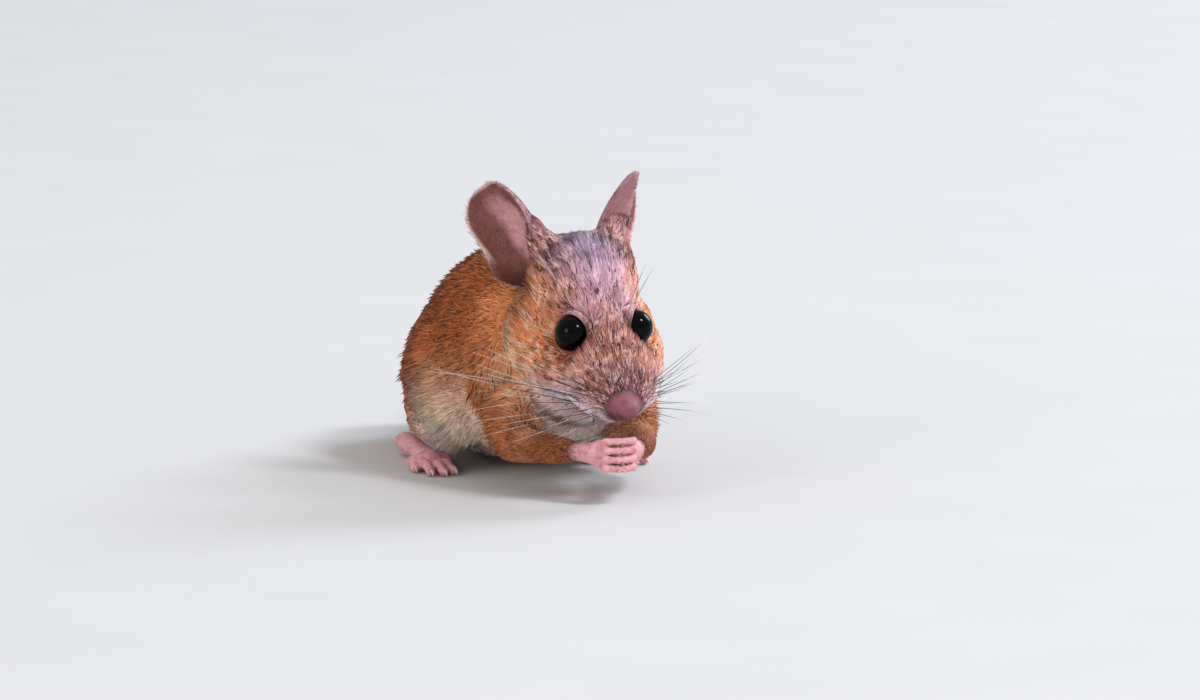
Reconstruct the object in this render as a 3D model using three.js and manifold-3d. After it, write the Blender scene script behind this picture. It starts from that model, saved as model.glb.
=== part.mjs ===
// A life-size field mouse (wood mouse) as a still museum model: it crouches on its hind feet and rump,
// back rounded, head bent down, with both hands held together at its mouth.
// Millimetres, +Z up, the floor at z = 0. The mouse faces -Y, and +X is its left.
// Every solid reaches out to the tips of the coat, and neighbouring solids keep a gap of GAP between them.
import * as THREE from "three";
import { mergeVertices } from "three/addons/utils/BufferGeometryUtils.js";
import { ParametricGeometry } from "three/addons/geometries/ParametricGeometry.js";
import Module from "manifold-3d";

const wasm = await Module();
wasm.setup();

// Driving dimensions
const GAP = 0.3; // between neighbouring solids
const NOSE_AT = [0.6, -38, 12.6]; // tip of the nose, and origin of the head's own frame
const HEAD_PITCH = 28; // degrees, nose down
const HEAD_YAW = 0; // degrees, towards the mouse's left
const HEAD_ROLL = -3; // degrees
const EYE_RADIUS = 2.3;
const EYE_SOCKET = EYE_RADIUS + 1.5 * GAP; // its radius where it has few faces
const EYE_AT = [4.4, 12.9, 4.1]; // in the head's frame: sideways, back, up
const EAR_LENGTH = 17.2;
const EAR_HALF_WIDTH = 6.8; // along the curved sheet
const EAR_THICKNESS = 0.7;
const EAR_SOCKET_MARGIN = 1.7 * GAP; // round the ear's sheet, where the socket has few faces
const EAR_AT = [2.8, 25.8, 3.2]; // in the head's frame
const EAR_LOBE = 0.36; // how much wider its hind edge is, low down
const EAR_AXIS = { left: [0.53, 0.72, 0.5], right: [-0.56, 0.63, 0.67] };
const EAR_FACING = { left: [0.97, -0.1, 0.2], right: [-0.9, -0.38, 0.19] }; // the left one is turned back
const TAIL_BASE_RADIUS = 2.3;
const TAIL_TIP_RADIUS = 0.55;
const TAIL_LENGTHS = 4;
const FOOT_HEEL = [12.2, 15.5]; // x and y of the left heel
const FOOT_BALL = [13.6, 0.5]; // x and y of the left foot's toe roots
const CLAW_RADIUS = 0.3;

const SIDES = { left: 1, right: -1 }; // sign of x
const degrees = THREE.MathUtils.degToRad;
const vector = (p) => new THREE.Vector3(...p);
const mirrored = (side) => ([x, y, z]) => [side * x, y, z];

const fur = (name, colour) =>
  new THREE.MeshStandardMaterial({ name, color: colour, roughness: 0.95, metalness: 0 });
const MATERIALS = {
  coat: fur("coat", 0xa8622f),
  face: fur("face", 0xb0724a),
  pale: fur("pale", 0xd8b294),
  skin: new THREE.MeshStandardMaterial({ name: "skin", color: 0xd98f83, roughness: 0.6 }),
  ear: new THREE.MeshStandardMaterial({ name: "ear", color: 0xa77268, roughness: 0.75 }),
  tail: new THREE.MeshStandardMaterial({ name: "tail", color: 0x8a6a5c, roughness: 0.8 }),
  eye: new THREE.MeshStandardMaterial({ name: "eye", color: 0x070606, roughness: 0.05 }),
};

// A rounded form along a path. path holds the centres of its stations, and sizes their half-width,
// their height above the path and their depth below it.
// Each end closes in a dome of the given length, or flat where that is 0.
// grow makes the whole form larger by that much, which serves to cut a gap into its neighbours.
function form({ path, sizes, domes = [1, 1], around = 20, along = 12, domeSteps = 3, grow = 0 }) {
  const centres = new THREE.CatmullRomCurve3(path.map(vector));
  const section = new THREE.CatmullRomCurve3(sizes.map(vector));
  const rings = [];
  const dome = (t, length, outward) => {
    const steps = length > 0 ? domeSteps : 1;
    return Array.from({ length: steps }, (_, i) => {
      const angle = (i / steps) * (Math.PI / 2);
      return { t, scale: Math.sin(angle), shift: outward * (length + grow) * Math.cos(angle) };
    });
  };
  const flatShift = (end, outward) => (domes[end] === 0 ? outward * grow : 0);
  rings.push(...dome(0, domes[0], -1), { t: 0, scale: 1, shift: flatShift(0, -1) });
  for (let i = 1; i < along; i++) rings.push({ t: i / along, scale: 1, shift: 0 });
  rings.push({ t: 1, scale: 1, shift: flatShift(1, 1) }, ...dome(1, domes[1], 1).reverse());

  const across = new THREE.Vector3(1, 0, 0);
  const place = (u, v, target) => {
    const { t, scale, shift } = rings[Math.round(v * (rings.length - 1))];
    const tangent = centres.getTangent(t);
    const lateral = across.clone().addScaledVector(tangent, -across.dot(tangent)).normalize();
    const up = new THREE.Vector3().crossVectors(lateral, tangent);
    const [width, above, below] = section.getPoint(t).toArray();
    const angle = u * 2 * Math.PI;
    const height = (Math.sin(angle) > 0 ? above : below) + grow;
    centres.getPoint(t, target);
    target.addScaledVector(tangent, shift);
    target.addScaledVector(lateral, scale * (width + grow) * Math.cos(angle));
    target.addScaledVector(up, scale * height * Math.sin(angle));
  };
  return new ParametricGeometry(place, around, rings.length - 1);
}

// A thin curved sheet: surface(u, v) gives its middle for u from -1 to 1 across and v from 0 to 1 along,
// and its faces meet in a rounded rim.
// grow thickens it and carries it on past its rim, by a share of halfWidth and of length.
function sheet(surface, { thickness, halfWidth, length, across, along, grow }) {
  const step = 1e-3;
  const normalAt = (u, v) => {
    const alongU = surface(u + step, v).sub(surface(u - step, v));
    const alongV = surface(u, v + step).sub(surface(u, v - step));
    return alongU.cross(alongV).normalize();
  };
  // Each row runs once round the sheet: out over its front, and back over its rear.
  // Rows are closest at both ends.
  const place = (w, row, target) => {
    const v = 0.5 - 0.5 * Math.cos(Math.PI * row);
    const turn = Math.round(w * 2 * across);
    const front = turn <= across;
    const u = row === 1 ? 0 : front ? (2 * turn) / across - 1 : 3 - (2 * turn) / across;
    const rim = Math.sqrt(Math.max(0, 1 - u ** 6)) * Math.sqrt(1 - (2 * v - 1) ** 8);
    const wide = u * (1 + grow / halfWidth);
    const high = v + ((2 * v - 1) * grow) / length;
    const by = (front ? 1 : -1) * rim * (thickness / 2 + grow);
    target.copy(surface(wide, high));
    if (rim > 0) target.addScaledVector(normalAt(wide, high), by);
  };
  return new ParametricGeometry(place, 2 * across, along);
}

// Solids: meshes in, manifold solids for joining and cutting, meshes out
function solidOf(geometry) {
  const bare = geometry.index ? geometry.toNonIndexed() : geometry.clone();
  bare.deleteAttribute("normal");
  bare.deleteAttribute("uv");
  const merged = mergeVertices(bare, 1e-4);
  const corners = merged.index.array;
  const triVerts = [];
  for (let i = 0; i < corners.length; i += 3) {
    const [a, b, c] = corners.slice(i, i + 3);
    if (a !== b && b !== c && c !== a) triVerts.push(a, b, c);
  }
  const flip = () => {
    for (let i = 0; i < triVerts.length; i += 3) {
      [triVerts[i], triVerts[i + 1]] = [triVerts[i + 1], triVerts[i]];
    }
  };
  const build = () =>
    new wasm.Manifold(
      new wasm.Mesh({
        numProp: 3,
        vertProperties: new Float32Array(merged.attributes.position.array),
        triVerts: new Uint32Array(triVerts),
      }),
    );
  let solid = build();
  if (solid.volume() < 0) {
    flip();
    solid = build();
  }
  return solid;
}

function geometryOf(solid) {
  const { vertProperties, triVerts, numProp } = solid.getMesh();
  const positions = new Float32Array((vertProperties.length / numProp) * 3);
  for (let i = 0; i < positions.length / 3; i++) {
    positions.set(vertProperties.subarray(i * numProp, i * numProp + 3), i * 3);
  }
  const geometry = new THREE.BufferGeometry();
  geometry.setAttribute("position", new THREE.BufferAttribute(positions, 3));
  geometry.setIndex(new THREE.BufferAttribute(triVerts, 1));
  return geometry;
}

const joined = (solids) => solids.reduce((all, next) => all.add(next));
const joinedForms = (forms) => geometryOf(joined(forms.map((shape) => solidOf(form(shape)))));

// The same form with few faces and a little larger, so that it wraps the finer one. It parts the flesh.
const PARTING_MARGIN = 0.9;
const parting = (shape, grow) =>
  form({ ...shape, around: 8, along: 2, domeSteps: 2, grow: grow + PARTING_MARGIN });

// Head, in its own frame: the nose's tip at the origin, +Y back along the skull, +Z up from it
const SKULL = {
  path: [[0, 9, 0.8], [0, 13, 0.9], [0, 17, 0.9], [0, 21, 1.0], [0, 25, 1.4], [0, 28, 2.0]],
  sizes: [
    [5.4, 5.0, 5.2], [6.6, 7.0, 6.8], [7.5, 9.2, 7.8],
    [8.0, 10.6, 8.2], [8.3, 10.6, 8.0], [7.6, 9.4, 7.0],
  ],
  domes: [2.5, 3],
  around: 16,
  along: 4,
  domeSteps: 2,
};
const MUZZLE = {
  path: [[0, 2.6, -0.7], [0, 4.8, -0.6], [0, 7.6, -0.2], [0, 11, 0.4]],
  sizes: [[3.5, 2.3, 3.0], [5.6, 3.3, 3.9], [6.6, 4.4, 4.3], [6.7, 6.1, 4.7]],
  domes: [1.1, 0.6],
  around: 14,
  along: 3,
  domeSteps: 2,
};
// Left cheek, and the mound of fur that the left ear grows from
const CHEEK = {
  path: [[4.6, 10.5, -1.6], [5.6, 17, -2.2], [5.2, 24, -1.8]],
  sizes: [[3.6, 3.4, 3.6], [5.2, 5.0, 4.8], [5.4, 5.6, 5.2]],
  domes: [2.5, 4],
  around: 9,
  along: 3,
  domeSteps: 2,
};
const EAR_MOUND = {
  path: [[4.1, 21, 4.5], [5.4, 27.5, 9.5]],
  sizes: [[3.9, 3.9, 3.9], [2.8, 2.8, 2.8]],
  domes: [3, 1.2],
  around: 8,
  along: 1,
  domeSteps: 2,
};
const JAW = {
  path: [[0, 6.2, -4.6], [0, 10, -5.6], [0, 15, -6.6]],
  sizes: [[2.0, 1.6, 1.4], [3.6, 2.4, 1.9], [5.4, 3.2, 2.4]],
  domes: [1.4, 2],
  around: 12,
  along: 2,
  domeSteps: 2,
};
const MUZZLE_BACK = 8.6; // where the muzzle is parted from the head, along y
const NOSE = {
  path: [[0, 0.9, -0.5], [0, 2.2, -0.3]],
  sizes: [[1.8, 1.3, 1.8], [2.15, 1.7, 2.3]],
  domes: [0.9, 0.6],
  around: 10,
  along: 1,
  domeSteps: 2,
};

// The ear is a sheet that curls into a funnel at its root and opens into a shallow dish at its round top.
function earSurface(sign) {
  const side = sign > 0 ? "left" : "right";
  const axis = vector(EAR_AXIS[side]).normalize();
  const facing = vector(EAR_FACING[side]);
  facing.addScaledVector(axis, -facing.dot(axis)).normalize();
  const across = new THREE.Vector3().crossVectors(axis, facing);
  const widest = 0.6;
  return (u, v) => {
    const top = Math.max(0, (v - widest) / (1 - widest));
    const root = 0.42 + 0.58 * Math.sin((Math.min(v, widest) / widest) * (Math.PI / 2));
    const hind = THREE.MathUtils.clamp(sign * u, 0, 1);
    const lobe = EAR_LOBE * hind ** 2 * Math.exp(-(((v - 0.32) / 0.17) ** 2));
    const halfWidth = EAR_HALF_WIDTH * root * Math.sqrt(Math.max(0, 1 - top ** 2.4)) * (1 + lobe);
    const curl = degrees(THREE.MathUtils.lerp(130, 40, THREE.MathUtils.clamp(v, 0, 1)));
    const radius = halfWidth / curl;
    const lean = -1.7 * Math.sin(Math.PI * THREE.MathUtils.clamp(v, 0, 1)) - 0.3 * v * v;
    return new THREE.Vector3()
      .addScaledVector(axis, EAR_LENGTH * (v - 0.08))
      .addScaledVector(across, radius * Math.sin(curl * u))
      .addScaledVector(facing, radius * (1 - Math.cos(curl * u)) + lean);
  };
}

// Limbs, given for the left side
const SHOULDER = [8.2, -13, 15];
const ELBOW = [8.2, -18.5, 6.2];
const WRIST = [3.8, -31, 6.7];
const PALM = [2.5, -33.4, 6.8];
const HIP = [7.6, 16, 14];
const KNEE = [11.2, -3.5, 7.6];
const FINGERS = 4;
const FINGER_RADIUS = 0.52;
const TOE_RADIUS = 0.75;
const TOES = [
  { across: -1.7, back: 3.2, length: 3.0 }, // first, on the inner side
  { across: -1.15, back: 0.2, length: 4.6 },
  { across: 0, back: 0, length: 5.2 },
  { across: 1.15, back: 0.2, length: 4.8 },
  { across: 1.8, back: 2.6, length: 3.4 },
];

function limbForms(sign) {
  const on = mirrored(sign);
  return {
    forearm: {
      path: [ELBOW, [6.8, -25.5, 6.6], WRIST].map(on),
      sizes: [[3.4, 3.2, 3.2], [2.6, 2.6, 2.6], [1.7, 1.7, 1.7]],
      domes: [2.6, 0.5],
      around: 8,
      along: 3,
      domeSteps: 2,
    },
    upper_arm: {
      path: [SHOULDER, ELBOW].map(on),
      sizes: [[5, 5, 5], [3.8, 3.8, 3.8]],
      domes: [3.5, 2.5],
      around: 9,
      along: 2,
      domeSteps: 2,
    },
    thigh: {
      path: [HIP, [10.6, 7, 11.5], KNEE].map(on),
      sizes: [[5.0, 6.8, 9], [5.3, 7.2, 8.6], [4.6, 5.4, 5.2]],
      domes: [6, 4.2],
      around: 11,
      along: 4,
      domeSteps: 2,
    },
    lower_leg: {
      path: [[12.0, -1, 5.6], [12.8, 7, 4.4], [12.2, 14.5, 3.4]].map(on),
      sizes: [[3.4, 3.4, 3.4], [3.0, 3.0, 3.0], [2.2, 2.2, 2.2]],
      domes: [2.5, 1.5],
      around: 8,
      along: 3,
      domeSteps: 2,
    },
  };
}

// A finger or toe that tapers into its claw. knuckles gives its root, its bend and its tip.
function digit(knuckles, radius, grow) {
  const [, bend, tip] = knuckles.map(vector);
  const clawTip = tip.clone().add(tip.clone().sub(bend).setLength(radius + 1));
  clawTip.z = Math.max(clawTip.z - 0.2, CLAW_RADIUS);
  const radii = [1.1 * radius, radius, 0.85 * radius, CLAW_RADIUS];
  return {
    path: [...knuckles, clawTip.toArray()],
    sizes: radii.map((r) => [r, r, r]),
    domes: [radius, CLAW_RADIUS],
    around: 5,
    along: 3,
    domeSteps: 1,
    grow,
  };
}

// Both hands are cupped together at the mouth, fingers curling inwards.
const palm = (sign, grow) => ({
  path: [WRIST, PALM].map(mirrored(sign)),
  sizes: [[1.2, 1.2, 1.2], [1.3, 1.7, 1.7]],
  domes: [0.8, 0.9],
  around: 8,
  along: 1,
  domeSteps: 2,
  grow,
});

function fingers(sign, grow) {
  return Array.from({ length: FINGERS }, (_, i) => {
    const spread = i / (FINGERS - 1) - 0.5; // from the lowest finger to the highest
    const root = [PALM[0] - 0.2, PALM[1] - 0.4, PALM[2] + 2.6 * spread];
    const bend = [root[0] - 0.4, root[1] - 1.7, root[2] + 0.9 * spread];
    const tip = [bend[0] - 1.5, bend[1] - 0.6, bend[2] + 0.2 * spread];
    return digit([root, bend, tip].map(mirrored(sign)), FINGER_RADIUS, grow);
  });
}

const sole = (sign, grow) => ({
  path: [[...FOOT_HEEL, 1.7], [12.8, 8, 1.35], [...FOOT_BALL, 1.2]].map(mirrored(sign)),
  sizes: [[1.6, 1.9, 1.8], [1.5, 1.5, 1.45], [2.1, 1.2, 1.3]],
  domes: [1.4, 1],
  around: 8,
  along: 2,
  domeSteps: 2,
  grow,
});

function toes(sign, grow) {
  return TOES.map(({ across, back, length }) => {
    const root = [FOOT_BALL[0] + across, FOOT_BALL[1] + back + 0.4, 0.95];
    const bend = [root[0] + across * 0.25, root[1] - 0.55 * length, 1.2];
    const tip = [root[0] + across * 0.4, root[1] - length, 0.6];
    return digit([root, bend, tip].map(mirrored(sign)), TOE_RADIUS, grow);
  });
}

// The tail lies on the floor in a wide curve.
const TAIL_COURSE = [
  [0, 28, 7.4], [0.4, 34, 4.4], [1.6, 41, 2.1], [5.6, 54, 1.55],
  [13, 69, 1.25], [23, 82, 0.95], [35, 92, 0.7], [48, 98, 0.5],
];
const TAIL_PARTING = 0.002; // share of the tail's length left open on each side of a cut

function tailLength(index, grow) {
  const line = new THREE.CatmullRomCurve3(TAIL_COURSE.map(vector));
  const radiusAt = (t) => THREE.MathUtils.lerp(TAIL_BASE_RADIUS, TAIL_TIP_RADIUS, t ** 0.8);
  const [first, last] = [index === 0, index === TAIL_LENGTHS - 1];
  const from = index / TAIL_LENGTHS + (first ? 0 : TAIL_PARTING);
  const to = (index + 1) / TAIL_LENGTHS - (last ? 0 : TAIL_PARTING);
  const spots = Array.from({ length: 5 }, (_, k) => THREE.MathUtils.lerp(from, to, k / 4));
  return form({
    path: spots.map((t) => line.getPoint(t).toArray()),
    sizes: spots.map((t) => Array(3).fill(radiusAt(t))),
    domes: [first ? 1 : 0, last ? 0.6 : 0],
    around: 8,
    along: 4,
    domeSteps: 2,
    grow,
  });
}

const TRUNK = {
  path: [
    [0.3, -19, 18.2], [0, -13, 15], [0, -7, 12.4], [0, 0, 10],
    [0, 8, 8.4], [0, 16, 8], [0, 24, 7.8], [0, 29, 7.4],
  ],
  sizes: [
    [8.4, 12.6, 9.6], [9.6, 15.4, 10.4], [12, 18.2, 10], [14, 21, 9.2],
    [14.8, 22, 8.6], [13.4, 18.6, 8.3], [10.4, 14.8, 8], [7.4, 9, 6.4],
  ],
  domes: [3.5, 4.5],
  around: 20,
  along: 8,
};

// Blocks that part the flesh: three in the head's frame and four in the mouse's own.
// Each gives its extent along x, y and z, and takes what the ones before it leave.
const HEAD_BLOCKS = {
  lower_jaw: { x: [-20, 20], y: [3.5, 17], z: [-12, -5] },
  muzzle: { x: [-20, 20], y: [-5, 8.6], z: [-9, 20] },
  head: { x: [-20, 20], y: [8.6, 26], z: [-9, 20] },
};
const TRUNK_BLOCKS = {
  neck: { x: [-40, 40], y: [-50, -12], z: [19, 60] },
  chest: { x: [-40, 40], y: [-50, -1.5], z: [-10, 60] },
  belly: { x: [-40, 40], y: [-1.5, 14], z: [-10, 60] },
  rump: { x: [-40, 40], y: [14, 60], z: [-10, 60] },
};

function block({ x, y, z }, grow) {
  const [spans, middles] = [[], []];
  for (const [from, to] of [x, y, z]) {
    spans.push(to - from + 2 * grow);
    middles.push((from + to) / 2);
  }
  return new THREE.BoxGeometry(...spans).translate(...middles);
}

// Pieces with a shape of their own, each with the group that it hangs in.
// socket is the space that a piece takes from the flesh, where that isn't the piece itself made GAP larger.
function ownPieces(root, head) {
  const list = [];
  const add = (group, name, material, shape, socket) => list.push({ group, name, material, shape, socket });
  const eye = (sign, radius, around, up) =>
    new THREE.SphereGeometry(radius, around, up).translate(sign * EYE_AT[0], EYE_AT[1], EYE_AT[2]);
  const ear = (sign, across, along, grow) =>
    sheet(earSurface(sign), {
      thickness: EAR_THICKNESS,
      halfWidth: EAR_HALF_WIDTH,
      length: EAR_LENGTH,
      across,
      along,
      grow,
    }).translate(sign * EAR_AT[0], EAR_AT[1], EAR_AT[2]);
  for (const [side, sign] of Object.entries(SIDES)) {
    add(head, `eye_${side}`, "eye", () => eye(sign, EYE_RADIUS, 12, 7), () => eye(sign, EYE_SOCKET, 7, 5));
    add(head, `ear_${side}`, "ear", () => ear(sign, 7, 8, 0), () => ear(sign, 6, 8, EAR_SOCKET_MARGIN));
    const hand = (grow) => joinedForms([palm(sign, grow), ...fingers(sign, grow)]);
    const foot = (grow) => joinedForms([sole(sign, grow), ...toes(sign, grow)]);
    add(root, `hand_${side}`, "skin", hand, (grow) => form(palm(sign, grow)));
    add(root, `foot_${side}`, "skin", foot, (grow) => form(sole(sign, grow)));
  }
  add(head, "nose", "skin", (grow) => form({ ...NOSE, grow }));
  for (let i = 0; i < TAIL_LENGTHS; i++) add(root, `tail_${i + 1}`, "tail", (grow) => tailLength(i, grow));
  return list;
}

// The furred flesh is modelled whole, and then parted.
function fleshForms(root, head) {
  const list = [JAW, MUZZLE, SKULL].map((shape) => ({ group: head, shape }));
  for (const sign of Object.values(SIDES)) {
    const on = mirrored(sign);
    for (const shape of [CHEEK, EAR_MOUND]) {
      list.push({ group: head, shape: { ...shape, path: shape.path.map(on) } });
    }
    for (const shape of Object.values(limbForms(sign))) list.push({ group: root, shape });
  }
  list.push({ group: root, shape: TRUNK });
  return list;
}

// Each part takes the flesh that lies in its region, and leaves the rest to the parts after it.
function fleshParts(root, head) {
  const list = [];
  const add = (group, name, material, region) => list.push({ group, name, material, region });
  for (const [side, sign] of Object.entries(SIDES)) {
    for (const [name, shape] of Object.entries(limbForms(sign))) {
      add(root, `${name}_${side}`, name === "forearm" ? "pale" : "coat", (grow) => parting(shape, grow));
    }
  }
  for (const [name, extent] of Object.entries(HEAD_BLOCKS)) {
    add(head, name, name === "lower_jaw" ? "pale" : "face", (grow) => block(extent, grow));
  }
  for (const [name, extent] of Object.entries(TRUNK_BLOCKS)) {
    add(root, name, "coat", (grow) => block(extent, grow));
  }
  return list;
}

function addMesh({ group, name, material }, solid) {
  const largest = solid.decompose().reduce((a, b) => (a.volume() > b.volume() ? a : b));
  const geometry = geometryOf(largest).applyMatrix4(group.matrixWorld.clone().invert());
  const mesh = new THREE.Mesh(geometry, MATERIALS[material]);
  mesh.name = name;
  group.add(mesh);
}

function mouse() {
  const root = new THREE.Group();
  const head = new THREE.Group();
  head.position.set(...NOSE_AT);
  head.rotation.set(degrees(HEAD_PITCH), degrees(HEAD_ROLL), degrees(HEAD_YAW), "ZXY");
  root.add(head);
  root.updateMatrixWorld(true);

  const inWorld = (group, geometry) => solidOf(geometry.applyMatrix4(group.matrixWorld));
  const floor = solidOf(new THREE.BoxGeometry(400, 400, 100).translate(0, 0, -50));
  const forms = fleshForms(root, head).map(({ group, shape }) => inWorld(group, form(shape)));
  let flesh = joined(forms).subtract(floor);

  const taken = [];
  for (const piece of ownPieces(root, head)) {
    let solid = inWorld(piece.group, piece.shape(0)).subtract(floor);
    for (const other of taken) {
      if (solid.intersect(other).volume() > 0) solid = solid.subtract(other);
    }
    addMesh(piece, solid);
    taken.push(inWorld(piece.group, piece.shape(GAP)));
    flesh = flesh.subtract(inWorld(piece.group, (piece.socket ?? piece.shape)(GAP)));
  }
  for (const part of fleshParts(root, head)) {
    addMesh(part, flesh.intersect(inWorld(part.group, part.region(0))));
    flesh = flesh.subtract(inWorld(part.group, part.region(GAP)));
  }

  // The origin goes under the middle of the whole model, on the floor.
  const box = new THREE.Box3().setFromObject(root);
  const middle = box.getCenter(new THREE.Vector3());
  for (const child of root.children) child.position.sub(new THREE.Vector3(middle.x, middle.y, box.min.z));
  return root;
}

export default mouse();
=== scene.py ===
"""A field mouse as a still museum model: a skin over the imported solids, with eyes, claws, whiskers and coat.

Shapes are worked out in millimetres, in the frame of the mouse (it faces -Y, +X is its left, the floor is
z = 0) and in that of its head (the nose's tip is the origin, +Y runs back along the skull). metres() brings
them into the scene.
"""

from math import ceil, cos, pi, radians, sin

import bpy
import numpy as np
import openvdb
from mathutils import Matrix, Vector


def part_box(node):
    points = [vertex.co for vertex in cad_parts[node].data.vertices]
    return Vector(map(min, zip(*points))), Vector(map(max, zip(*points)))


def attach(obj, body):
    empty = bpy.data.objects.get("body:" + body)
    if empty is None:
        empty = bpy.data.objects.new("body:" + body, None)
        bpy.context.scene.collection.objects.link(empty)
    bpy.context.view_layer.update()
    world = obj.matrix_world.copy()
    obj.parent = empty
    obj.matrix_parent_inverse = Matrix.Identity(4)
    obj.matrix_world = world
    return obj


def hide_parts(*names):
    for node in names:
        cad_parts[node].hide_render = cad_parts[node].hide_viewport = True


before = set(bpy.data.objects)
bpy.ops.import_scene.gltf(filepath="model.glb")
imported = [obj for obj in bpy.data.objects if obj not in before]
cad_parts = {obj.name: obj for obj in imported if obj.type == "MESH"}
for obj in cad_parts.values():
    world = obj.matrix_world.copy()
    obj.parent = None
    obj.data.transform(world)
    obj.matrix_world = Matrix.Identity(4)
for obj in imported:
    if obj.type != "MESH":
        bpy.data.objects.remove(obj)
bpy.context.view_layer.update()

# ---- the design's own values, in millimetres

NOSE_AT = np.array([0.6, -38, 12.6])
HEAD_PITCH, HEAD_ROLL = radians(28), radians(-3)
EYE_RADIUS = 2.3
EYE_AT = np.array([4.4, 12.9, 4.1])  # in the head's frame, as all of these are for the left side
EYE_AXIS = np.array([0.79, -0.44, 0.43])
LID_EDGE = 0.15  # how far the lids reach up the eyeball from its middle, along its axis
NOSE_PAD = (0, 1.5, -0.8), (2.4, 2.2, 2.3)  # the middle and the half-widths of its bare part
# Each of these is cut as a chain of round cones: its stations and their radii
NOSTRIL = [(0.95, -0.05, -1.15), (1.5, 0.35, -0.95), (2.0, 1.0, -0.5)], [0.42, 0.36, 0.2]
GROOVE = [(0, -0.35, -1.4), (0, 0.1, -2.5), (0, 1.0, -3.5)], [0.08, 0.14, 0.16]
MOUTH = [(0, 1.0, -3.5), (1.4, 2.6, -4.4), (3.0, 5.4, -4.9), (4.0, 8.2, -4.8)], [0.16, 0.2, 0.22, 0.12]
EAR_AT = np.array([2.8, 25.8, 3.2])
EAR_AXIS = {1: np.array([0.53, 0.72, 0.5]), -1: np.array([0.56, 0.63, 0.67])}
EAR_FACING = {1: np.array([0.97, -0.1, 0.2]), -1: np.array([0.9, -0.38, 0.19])}  # the left ear is turned back
EAR_LENGTH, EAR_HALF_WIDTH, EAR_WIDEST = 17.2, 6.8, 0.6
EAR_LOBE = 0.36  # how much wider the hind edge is, low down
EAR_SUNK = 0.08  # the share of its length that starts below its root
EAR_THICKNESS = 0.5
# The furred swelling on its inner side, a chain too
EAR_MOUND = [(3.3, 24.3, 7.6), (4.5, 26.2, 8.8), (5.3, 27.5, 9.9)], [2.2, 1.6, 0.9]
WRIST, PALM = (3.8, -31, 6.7), (2.5, -33.4, 6.8)
ARM, ARM_RADII = [(8.2, -15.5, 10), (8.2, -18.5, 6.2), (6.8, -25.5, 6.6), WRIST], [3.2, 3.2, 2.4, 1.6]
FOOT_HEEL, FOOT_BALL = (12.2, 15.5), (13.6, 0.5)
# Each toe's root, across and behind the ball of the foot, and its length
TOES = [(-1.7, 3.2, 3.0), (-1.15, 0.2, 4.6), (0, 0, 5.2), (1.15, 0.2, 4.8), (1.8, 2.6, 3.4)]
TAIL = [
    (0, 28, 7.4), (0.4, 34, 4.4), (1.6, 41, 2.1), (5.6, 54, 1.55),
    (13, 69, 1.25), (23, 82, 0.95), (35, 92, 0.7), (48, 98, 0.5),
]  # fmt: skip
TAIL_RADII = (2.3, 0.55)
MM = 0.001
SIDES = {"left": 1, "right": -1}
BOTH = (1, -1)

BULK = ["nose", "lower_jaw", "muzzle", "head", "neck", "chest", "belly", "rump"]
BULK += [f"{limb}_{side}" for limb in ("upper_arm", "forearm", "thigh", "lower_leg") for side in SIDES]
THIN = [f"{part}_{side}" for part in ("ear", "hand", "foot") for side in SIDES]
THIN += [f"tail_{length}" for length in range(1, 5)]

(cp, sp), (cr, sr) = ((cos(angle), sin(angle)) for angle in (HEAD_PITCH, HEAD_ROLL))
# The head rolls about Y, then pitches about X
HEAD_TURN = np.array([[1, 0, 0], [0, cp, -sp], [0, sp, cp]]) @ [[cr, 0, sr], [0, 1, 0], [-sr, 0, cr]]
on_side = lambda p, sign: np.asarray(p, float) * (sign, 1, 1)
unit = lambda v: v / np.maximum(np.linalg.norm(v, axis=-1, keepdims=True), 1e-9)


def to_left(points):
    """Points brought to the left side of whichever frame they are in."""
    return np.concatenate([np.abs(points[..., :1]), points[..., 1:]], -1)


def eye_frame(sign):
    return on_side(EYE_AT, sign), unit(on_side(EYE_AXIS, sign))


def from_head(points):
    return points @ HEAD_TURN.T + NOSE_AT


def to_head(points):
    return (points - NOSE_AT) @ HEAD_TURN


def middle_of(name):
    low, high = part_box(name)
    return np.array((low + high) / 2)


SHIFT = from_head(EYE_AT) - middle_of("eye_left") / MM
metres = lambda points: (np.asarray(points) - SHIFT) * MM


def smooth(x, a, b):
    """A soft step from 0 where x is a to 1 where x is b. It falls where a is above b."""
    t = np.clip((x - a) / (b - a), 0, 1)
    return t * t * (3 - 2 * t)


# ---- fields on a grid

VOXEL = 0.2
BAND = 1.5  # how far outside a surface its distances are true
BODY_BLOCK = ((-19, -41, -1.2), (19, 38, 45))  # all of the mouse but most of the tail
lattice = lambda axes: np.stack(np.meshgrid(*axes, indexing="ij"), -1)


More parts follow.
